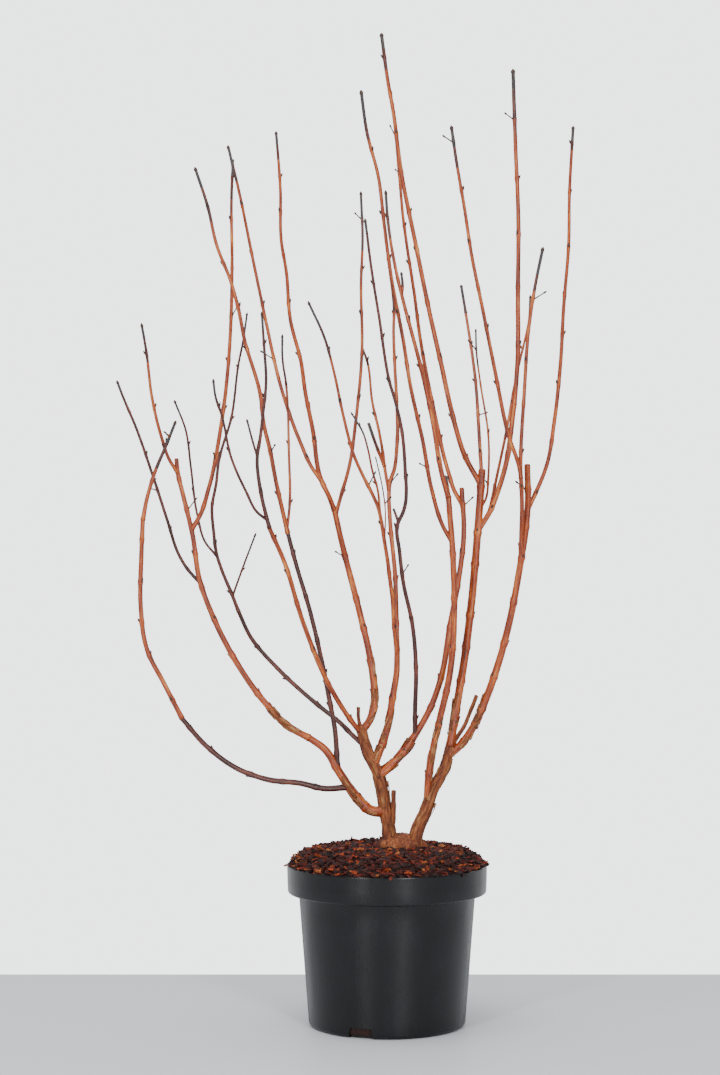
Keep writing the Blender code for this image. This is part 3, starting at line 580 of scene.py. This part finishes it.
def makeChips():
    bm = bmesh.new()
    chance = random.Random(chip["seed"])
    for _ in range(chip["count"]):
        radius = chip["spread"] * math.sqrt(chance.random())
        turn = chance.uniform(0, 2 * math.pi)
        size = [chance.uniform(*limits) for limits in chip["size"]]
        lift = chance.uniform(*chip["lift"]) + (chip["rimLift"] if radius > chip["rimFrom"] else 0)
        place = Vector((math.cos(turn) * radius, math.sin(turn) * radius, moundUp(radius) + lift)) * mm
        lean = [math.radians(chance.gauss(0, chip["tilt"])) for _ in range(2)]
        matrix = (Matrix.Translation(place) @ Matrix.Rotation(chance.uniform(*anyTurn), 4, "Z")
                  @ Matrix.Rotation(lean[0], 4, "X") @ Matrix.Rotation(lean[1], 4, "Y")
                  @ Matrix.Diagonal((size[0] * mm, size[1] * mm, size[2] * mm, 1)))
        made = bmesh.ops.create_cube(bm, size=1.0)["verts"]
        taper = chance.uniform(*chip["taper"])
        for vert in made:
            if vert.co.x > 0:
                vert.co.y *= taper
            vert.co += Vector([chance.uniform(-most, most) for most in chip["stray"]])
            vert.co = matrix @ vert.co
        draw = chance.random()
        tone = next(i for i, limit in enumerate(chip["tones"]) if draw <= limit)
        for face in {face for vert in made for face in vert.link_faces}:
            face.material_index = tone
    chips = addPiece("barkChips", bm, chipTones, [])
    chips.data.shade_flat()


makeMulchBed()
makeChips()
print("mulch made")

# Limbs
limbStep = 4 * mm  # from one point of a limb's line to the next
markStep = 1.7  # moves the bark pattern on from limb to limb, so that no two share one


def placed(across, up, back):
    # a place as the eye sees it, moved out along the line of sight to its own depth
    reach = 1 + back / eye["away"]
    return Vector((eye["across"] + (across - eye["across"]) * reach, back,
                   eye["up"] + (up - eye["up"]) * reach))


def smoothLine(places, step):
    spans = [(b - a).length for a, b in zip(places, places[1:])]
    leans = [(b - a) / span for a, b, span in zip(places, places[1:], spans)]
    slopes = [leans[0]]
    for i in range(1, len(spans)):
        slopes.append((leans[i - 1] * spans[i] + leans[i] * spans[i - 1]) / (spans[i - 1] + spans[i]))
    slopes.append(leans[-1])
    line = []
    for i, span in enumerate(spans):
        count = max(1, round(span / step))
        for k in range(count):
            t = k / count
            line.append(places[i] * (2 * t ** 3 - 3 * t ** 2 + 1)
                        + places[i + 1] * (3 * t ** 2 - 2 * t ** 3)
                        + slopes[i] * span * (t ** 3 - 2 * t ** 2 + t)
                        + slopes[i + 1] * span * (t ** 3 - t ** 2))
    line.append(places[-1])
    return line


def lengthsAlong(line):
    along = [0.0]
    for a, b in zip(line, line[1:]):
        along.append(along[-1] + (b - a).length)
    return along


class Limb:
    def __init__(self, line, thick, thin):
        self.line = line
        self.along = lengthsAlong(line)
        self.length = self.along[-1]
        self.thick = thick
        self.thin = thin
        self.knots = []  # lengths along the limb where it swells at a bud
        self.mark = 0  # where its bark pattern starts

    def at(self, s):
        # the point, direction and radius at a length along the limb
        low, high = 0, len(self.line) - 2
        while low < high:
            middle = (low + high) // 2
            if self.along[middle + 1] < s:
                low = middle + 1
            else:
                high = middle
        span = self.along[low + 1] - self.along[low]
        point = self.line[low].lerp(self.line[low + 1], (s - self.along[low]) / span)
        radius = (self.thick + (self.thin - self.thick) * s / self.length) / 2
        return point, (self.line[low + 1] - self.line[low]).normalized(), radius

    def seenNearest(self, across, up):
        # the length along the limb that the eye sees nearest to a place
        tries = 200
        best = (math.inf, 0.0)
        for k in range(tries + 1):
            point = self.at(self.length * k / tries)[0]
            reach = 1 + point.y / eye["away"]
            aside = eye["across"] + (point.x - eye["across"]) / reach - across
            above = eye["up"] + (point.z - eye["up"]) / reach - up
            best = min(best, (math.hypot(aside, above), self.length * k / tries))
        return best[1]


def growLimb(row, parents):
    parent, thick, thin, endBack, places = row
    across, up = places[0]
    first = placed(across * mm, up * mm, 0.0)
    if parent:
        carrier = parents[parent]
        first = carrier.at(carrier.seenNearest(across * mm, up * mm))[0]
    along = lengthsAlong([Vector(place) for place in places])
    line = [first]
    for (a, u), s in zip(places[1:], along[1:]):
        back = first.y + (endBack * mm - first.y) * s / along[-1]
        line.append(placed(a * mm, u * mm, back))
    return Limb(smoothLine(line, limbStep), thick * mm, thin * mm)


limbs = {}
for name, row in boughs.items():
    limbs[name] = growLimb(row, limbs)
shoots = {}
for name, rows in masses.items():
    own = {}
    for part, row in rows.items():
        own[part] = growLimb(row, own if row[0] in own else limbs)
    shoots[name] = own
everyLimb = list(limbs.values())
for own in shoots.values():
    everyLimb += own.values()
for order, limb in enumerate(everyLimb):
    limb.mark = order * markStep
print("limbs grown:", len(everyLimb))

# Buds stand in turn round a stem, on a slight swelling, and some have grown on as spurs. A shape is
# rows of share of the length and share of the thickness. The bud at a shoot's end is in mm and in
# shares of the shoot's radius.
bud = {"step": (38 * mm, 60 * mm), "boughStep": (30 * mm, 52 * mm), "first": 16 * mm,
       "firstMore": 0.4, "last": 9 * mm, "turn": 137.5, "sides": 7, "seed": 23, "boughSeed": 41,
       "long": 4.8 * mm, "thick": 2.3 * mm, "widest": 1.45, "lean": 1.9, "sunk": 0.7,
       "spurLong": (8 * mm, 17 * mm), "spurThick": 1.5 * mm, "spurLean": 0.8, "spurShare": 0.14,
       "boughSpurShare": 0.1, "knotLong": 2.6 * mm, "knotMore": 0.2,
       "shape": [(0.0, 0.42), (0.25, 0.5), (0.5, 0.48), (0.75, 0.32), (1.0, 0.06)],
       "spurShape": [(0.0, 0.62), (0.1, 0.5), (0.55, 0.44), (0.72, 0.42), (0.8, 0.72), (0.92, 0.6),
                     (1.0, 0.12)],
       "endShape": [(-0.5, 0.9), (0.8, 1.25), (2.2, 1.15), (3.6, 0.55), (4.4, 0.1)]}


def outFrom(direction, turn):
    # straight out of a stem, at a turn about it
    side = direction.orthogonal().normalized()
    return side * math.cos(turn) + direction.cross(side) * math.sin(turn)


def addRings(whole, stops, sides, paint, relief=None, mark=0.0):
    # a tube from stops of matrix, radius and length along, made by extruding its first circle;
    # paint gives the material at a length along, and relief how far the bark stands out at a spot
    bm = bmesh.new()
    place = bm.verts.layers.float_vector.new("barkPlace")
    matrix, radius, along = stops[0]
    ring = bmesh.ops.create_circle(bm, cap_ends=True, segments=sides, radius=1.0,
                                   matrix=matrix @ Matrix.Scale(radius, 4))["verts"]
    edges = list(dict.fromkeys(edge for vert in ring for edge in vert.link_edges))
    rings = [(ring, matrix, radius, along)]
    last = matrix @ Matrix.Scale(radius, 4)
    for matrix, radius, along in stops[1:]:
        made = bmesh.ops.extrude_edge_only(bm, edges=edges)["geom"]
        ring = [item for item in made if isinstance(item, bmesh.types.BMVert)]
        edges = [item for item in made if isinstance(item, bmesh.types.BMEdge)
                 and all(vert in ring for vert in item.verts)]
        following = matrix @ Matrix.Scale(radius, 4)
        bmesh.ops.transform(bm, matrix=following @ last.inverted(), verts=ring)
        for face in [item for item in made if isinstance(item, bmesh.types.BMFace)]:
            face.material_index = paint(along)
        last = following
        rings.append((ring, matrix, radius, along))
    bmesh.ops.contextual_create(bm, geom=edges)
    for ring, matrix, radius, along in rings:
        back = matrix.inverted()
        for vert in ring:
            local = back @ vert.co
            spot = Vector((local.x, local.y, along))
            if relief:
                vert.co += relief(spot) * (vert.co - matrix.translation).normalized()
            spot.z += mark
            vert[place] = spot
    bmesh.ops.recalc_face_normals(bm, faces=bm.faces)
    tube = bpy.data.meshes.new("tube")
    bm.to_mesh(tube)
    bm.free()
    whole.from_mesh(tube)
    bpy.data.meshes.remove(tube)


def barkRelief(spot, look, mark):
    # coarse ridges with finer ones on them
    finer, finerShare = 2.7, 0.5
    at = Vector((spot.x * look["ridges"], spot.y * look["ridges"], spot.z * look["ridgeAlong"] + mark))
    return (noise.noise(at) + finerShare * noise.noise(at * finer)) * look["relief"]


def turnedTo(direction, last):
    # the frame of a ring, turned on from the ring before it with no twist
    if last is None:
        side = direction.orthogonal().normalized()
    else:
        side = (last - direction * last.dot(direction)).normalized()
    return side, Matrix((side, direction.cross(side), direction)).transposed().to_4x4()


domeEnd = ((0.28, 0.86), (0.42, 0.5))  # a limb's blunt end: shares of its radius, up and across


def limbRings(bm, limb, look, paint):
    stops = []
    side = None
    count = max(2, round(limb.length / look["step"]))
    for k in range(count + 1):
        s = limb.length * k / count
        point, direction, radius = limb.at(s)
        for knot in limb.knots:
            radius *= 1 + bud["knotMore"] * math.exp(-((s - knot) / bud["knotLong"]) ** 2)
        radius *= 1 + look["footMore"] * math.exp(-s / look["footLong"])
        side, turned = turnedTo(direction, side)
        stops.append((Matrix.Translation(point) @ turned, radius, s))
    matrix, radius, s = stops[-1]
    for up, share in domeEnd:
        stops.append((matrix @ Matrix.Translation((0, 0, radius * up)), radius * share, s))
    relief = partial(barkRelief, look=look, mark=limb.mark)
    addRings(bm, stops, look["sides"], paint, relief, limb.mark)


def budsOf(limb, chance, turn, step, spurShare):
    # places for buds and spurs up a limb, each with its turn about the stem
    found = []
    s = bud["first"] + chance.uniform(0, bud["firstMore"]) * bud["step"][1]
    while s < limb.length - bud["last"]:
        spur = chance.random() < spurShare
        long = chance.uniform(*bud["spurLong"]) if spur else bud["long"]
        found.append((s, turn, long, spur))
        limb.knots.append(s)
        turn += math.radians(bud["turn"])
        s += chance.uniform(*step)
    return found


def addBud(bm, limb, s, turn, long, spur):
    point, direction, radius = limb.at(s)
    out = outFrom(direction, turn)
    lean = (direction * (bud["spurLean"] if spur else bud["lean"]) + out).normalized()
    thick = bud["spurThick"] if spur else min(bud["thick"], radius * bud["widest"])
    foot = point + out * radius * bud["sunk"]
    turned = turnedTo(lean, None)[1]
    stops = [(Matrix.Translation(foot + lean * long * t) @ turned, thick * width, s + long * t)
             for t, width in bud["spurShape" if spur else "shape"]]
    addRings(bm, stops, bud["sides"], lambda along: 0)


def addEndBud(bm, limb):
    point, direction, radius = limb.at(limb.length)
    turned = turnedTo(direction, None)[1]
    stops = [(Matrix.Translation(point + direction * long * mm) @ turned, radius * width, limb.length)
             for long, width in bud["endShape"]]
    addRings(bm, stops, bud["sides"], lambda along: 0)


# How finely limbs are made, how they swell at the foot, and their bark's ridges a metre and height
youngLook = {"step": 3.2 * mm, "sides": 12, "footMore": 0.25, "footLong": 4 * mm,
             "ridges": 500, "ridgeAlong": 60, "relief": 0.1 * mm}
thinLook = dict(youngLook, sides=10)
boughLook = dict(youngLook, step=2.6 * mm, sides=16, relief=0.16 * mm, footLong=6 * mm)
oldLook = {"step": 1.3 * mm, "sides": 30, "footMore": 0.3, "footLong": 9 * mm,
           "ridges": 420, "ridgeAlong": 70, "relief": 0.75 * mm}
thinUnder = 3 * mm
tipLong = (5 * mm, 24 * mm)  # the dried end of a shoot
shadeLong = (8 * mm, 34 * mm)  # the darker stretch below it
endShare = 0.25  # of a shoot's length, the most that each of these takes
# Stems in the shade of the crown, which take the darker copy of the bark as painted shade
shadedMasses = ("twigs_dark_front", "twigs_back_left", "twigs_left_low", "twigs_front_left")
shadedBoughs = ("cane_outer_low", "bough_back_left", "bough_tall_left")


def startLimbs():
    bm = bmesh.new()
    bm.verts.layers.float_vector.new("barkPlace")
    return bm


def makeTwigs():
    chance = random.Random(bud["seed"])
    tones = random.Random(bud["seed"] + 1)
    stems = startLimbs()
    buds = startLimbs()
    for name, own in shoots.items():
        # a shaded mass takes the darker bark copy, as painted shade
        tone = 1 if name in shadedMasses else 0
        for part, limb in own.items():
            for item in budsOf(limb, chance, chance.uniform(*anyTurn), bud["step"], bud["spurShare"]):
                addBud(buds, limb, *item)
            tip = limb.length - min(tones.uniform(*tipLong), limb.length * endShare)
            shade = tip - min(tones.uniform(*shadeLong), limb.length * endShare)
            look = thinLook if limb.thick < thinUnder else youngLook
            limbRings(stems, limb, look, lambda s: 2 if s > tip else 1 if s > shade else tone)
            if part != "stub":
                addEndBud(buds, limb)
    addPiece("twigs", stems, [youngBark, darkBark, tipBark], list(shoots))
    return buds


buds = makeTwigs()
print("twigs made")

oldNodes = ["trunk_left", "trunk_right", "stub_old", "stub_top", "stub_dry"]


def makeBoughs():
    chance = random.Random(bud["boughSeed"])
    young = startLimbs()
    old = startLimbs()
    for name, limb in limbs.items():
        if name in oldNodes:
            limbRings(old, limb, oldLook, lambda s: 0)
            continue
        first = chance.uniform(*anyTurn)
        for item in budsOf(limb, chance, first, bud["boughStep"], bud["boughSpurShare"]):
            addBud(buds, limb, *item)
        # a shaded bough takes the darker bark copy, as painted shade
        tone = 1 if name in shadedBoughs else 0
        limbRings(young, limb, boughLook, lambda s: tone)
    boughNodes = [name for name in limbs if name not in oldNodes]
    addPiece("boughs", young, [youngBark, darkBark], boughNodes)
    addPiece("oldWood", old, [oldBark], oldNodes)
    addPiece("buds", buds, [budScale], [])


makeBoughs()
print("boughs made")

# The root crown: a low woody knob with swellings round it and bark ridges. Its place and size are
# in mm, and its ridges are so many a metre.
rootCrown = {"at": (14, 3), "up": 172.8, "size": (23, 17, 13), "swellings": 5, "swell": 0.09,
             "swellTurn": 1.1, "relief": 1.6 * mm, "ridge": 330, "flatRidge": 0.4, "fine": 700,
             "fineShare": 0.5}


def makeRootCrown():
    bm = bmesh.new()
    place = bm.verts.layers.float_vector.new("barkPlace")
    bmesh.ops.create_icosphere(bm, subdivisions=5, radius=1.0)
    for vert in bm.verts:
        turn = math.atan2(vert.co.y, vert.co.x) * rootCrown["swellings"] + rootCrown["swellTurn"]
        knobs = 1 + rootCrown["swell"] * math.sin(turn) * (1 - vert.co.z ** 2)
        flat = Vector((rootCrown["at"][0] + vert.co.x * rootCrown["size"][0] * knobs,
                       rootCrown["at"][1] + vert.co.y * rootCrown["size"][1] * knobs,
                       rootCrown["up"] + vert.co.z * rootCrown["size"][2])) * mm
        out = vert.co.normalized()
        ridge = noise.noise(Vector((flat.x, flat.y, flat.z * rootCrown["flatRidge"])) * rootCrown["ridge"])
        ridge += rootCrown["fineShare"] * noise.noise(flat * rootCrown["fine"])
        vert.co = flat + out * ridge * rootCrown["relief"]
        vert[place] = vert.co.copy()
    addPiece("rootKnob", bm, [oldBark], ["root_crown"])


makeRootCrown()

# Loose bark: papery strips that lift from the old wood at one end, in mm. Carriers are dealt out in
# turn, each with the share of its length that peels, and one that peels over less than oldFrom has
# flatter strips. A strip's free end is ragged at its corners.
strip = {"count": 150, "long": (7, 26), "wide": (1.6, 4.2), "lift": (0.3, 3.2), "thick": 0.25,
         "lessLift": 0.6, "oldFrom": 0.5, "lowest": 0.02, "lean": 0.25, "curl": 2.2, "clear": 0.2,
         "over": 1.04, "rag": 0.75, "ragLong": 0.3, "ragIn": 0.9, "acrossRows": 3, "alongRows": 7,
         "seed": 8,
         "carriers": [
             ("trunk_left", 1.0), ("trunk_right", 1.0), ("bough_left_low", 0.35),
             ("bough_centre", 0.4), ("bough_centre_left", 0.3), ("bough_centre_low", 1.0),
             ("bough_right", 0.12), ("bough_right_outer", 0.2), ("bough_inner_right", 0.25),
             ("bough_left", 0.1)]}


def makeLooseBark():
    chance = random.Random(strip["seed"])
    bm = bmesh.new()
    place = bm.verts.layers.float_vector.new("barkPlace")
    for k in range(strip["count"]):
        name, reach = strip["carriers"][k % len(strip["carriers"])]
        limb = limbs[name]
        long = chance.uniform(*strip["long"]) * mm
        wide = chance.uniform(*strip["wide"]) * mm
        less = 1 if reach > strip["oldFrom"] else strip["lessLift"]
        lift = chance.uniform(*strip["lift"]) * mm * less
        start = chance.uniform(strip["lowest"], reach) * limb.length
        turn = chance.uniform(0, 2 * math.pi)
        lean = chance.uniform(-strip["lean"], strip["lean"])
        upward = chance.random() < 0.5
        made = bmesh.ops.create_grid(bm, x_segments=strip["acrossRows"],
                                     y_segments=strip["alongRows"], size=0.5)["verts"]
        inward = -outFrom(limb.at(start)[1], turn) * strip["thick"] * mm
        for vert in made:
            u, w = vert.co.x, vert.co.y + 0.5
            s = min(limb.length * 0.999, max(0.0, start + long * w))
            point, direction, radius = limb.at(s)
            raised = w if upward else 1 - w
            angle = turn + (u * wide + lean * long * w) / radius
            freeEnd = max(0.0, raised - (1 - strip["ragLong"])) / strip["ragLong"]
            ragged = 1 - strip["rag"] * freeEnd * abs(2 * u)
            out = outFrom(direction, angle)
            high = radius * strip["over"] + lift * raised ** strip["curl"] + strip["clear"] * mm
            vert.co = point + out * high * ragged
            if ragged < 1:
                vert.co += out * radius * (1 - ragged) * strip["ragIn"]
            vert[place] = Vector((u * wide, radius, s + k))
        sheet = list(dict.fromkeys(face for vert in made for face in vert.link_faces))
        under = bmesh.ops.extrude_face_region(bm, geom=sheet, use_keep_orig=True)["geom"]
        verts = [item for item in under if isinstance(item, bmesh.types.BMVert)]
        bmesh.ops.translate(bm, vec=inward, verts=verts)
    bmesh.ops.recalc_face_normals(bm, faces=bm.faces)
    addPiece("looseBark", bm, [looseBark], [])


makeLooseBark()
print("old wood made")

# The stage: a pale floor that ends behind the pot, under soft light
stage = {"floor": "#D9DCE0", "roughness": 0.5, "back": 0.259, "side": 2.5, "front": -3.0}

floorMesh = bpy.data.meshes.new("floor")
floorShape = bmesh.new()
bmesh.ops.create_grid(floorShape, x_segments=1, y_segments=1, size=1.0)
for vert in floorShape.verts:
    vert.co.x *= stage["side"]
    vert.co.y = stage["back"] if vert.co.y > 0 else stage["front"]
floorShape.to_mesh(floorMesh)
floorShape.free()
floor = bpy.data.objects.new("floor", floorMesh)
scene.collection.objects.link(floor)
floorPaint, _, floorShader = startMaterial("paleFloor", stage["roughness"])
floorShader.inputs["Base Color"].default_value = toLinear(stage["floor"])
floorMesh.materials.append(floorPaint)

# The room is white to the eye. Its light comes from behind and the sides, and the front is dim, so
# that the pot's face stays black between the reflections of the lights.
studio = {"tint": "#F3F5F8", "seen": 3.4, "dim": 0.07, "bright": 1.2, "dimTo": -0.6,
          "brightFrom": 0.35}

world = bpy.data.worlds.new("studio")
world.use_nodes = True
room = world.node_tree
direction = addNode(room, "ShaderNodeSeparateXYZ", {
    "Vector": addNode(room, "ShaderNodeTexCoord").outputs["Generated"]})
around = addNode(room, "ShaderNodeMapRange", {
    "Value": direction.outputs["Y"], "From Min": studio["dimTo"], "From Max": studio["brightFrom"],
    "To Min": studio["dim"], "To Max": studio["bright"]})
sight = addNode(room, "ShaderNodeLightPath").outputs["Is Camera Ray"]
bright = addNode(room, "ShaderNodeMix", {"Factor": sight, "A": around.outputs[0], "B": studio["seen"]})
room.links.new(bright.outputs[0], room.nodes["Background"].inputs["Strength"])
room.nodes["Background"].inputs["Color"].default_value = toLinear(studio["tint"])
scene.world = world


def addLight(name, place, aim, width, height, power):
    data = bpy.data.lights.new(name, "AREA")
    data.shape = "RECTANGLE"
    data.size = width
    data.size_y = height
    data.energy = power
    light = bpy.data.objects.new(name, data)
    light.location = place
    light.rotation_euler = (Vector(aim) - Vector(place)).to_track_quat("-Z", "Y").to_euler()
    scene.collection.objects.link(light)


addLight("softboxRight", (0.95, -2.5, 1.0), (0, 0, 0.45), 0.55, 1.7, 52)
addLight("stripLeft", (-1.3, -2.3, 0.9), (0, 0, 0.45), 0.14, 1.7, 34)
addLight("above", (-0.3, -0.6, 2.4), (0, 0, 0.3), 1.4, 1.4, 30)

print("scene made")
